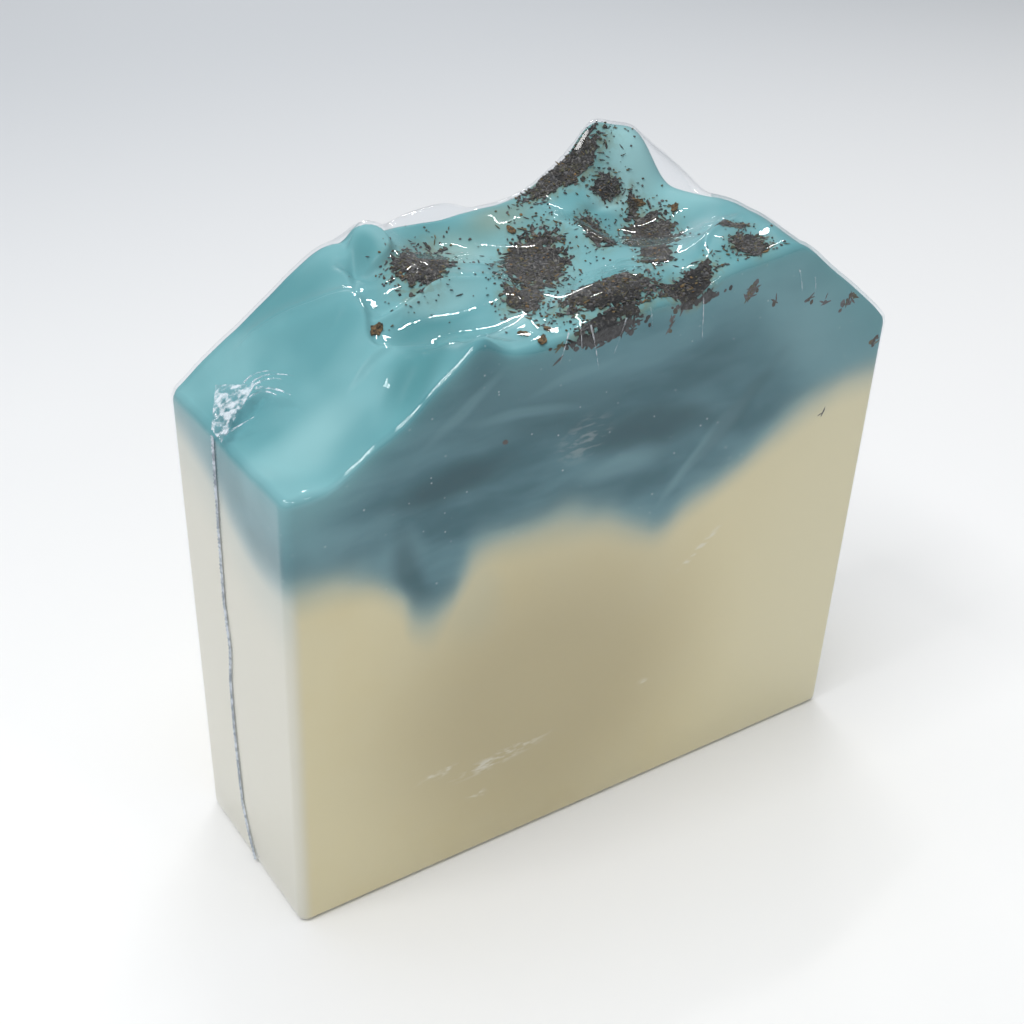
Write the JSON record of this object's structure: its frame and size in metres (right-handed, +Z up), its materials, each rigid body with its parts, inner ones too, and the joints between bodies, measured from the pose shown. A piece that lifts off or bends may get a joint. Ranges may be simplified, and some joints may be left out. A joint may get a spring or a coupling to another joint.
{
  "type": "bar of soap",
  "caption": "Rectangular hand-cut soap bar standing on its base, with a sculpted peaked top, pressed herb patches and a clear shrink film with an end seam.",
  "frame": {"origin": "middle of the base, on the surface that the wrapped bar stands on", "axes": "+X along the bar's width with the seamed end at -X, -Y towards the broad front face, +Z up towards the sculpted top"},
  "size_m": [0.0849, 0.0305, 0.0836],
  "materials": {
    "soap": "smooth waxy soap, teal pour over cream pour",
    "ground_herbs": "rough dry ground leaf",
    "leaf_flakes": "dry leaf flakes",
    "clear_film": "clear glossy shrink film"
  },
  "bodies": {
    "root": {"soap_bar": "soap", "herb_crust": "ground_herbs", "herb_flakes": "leaf_flakes", "shrink_film": "clear_film"}
  },
  "joints": []
}
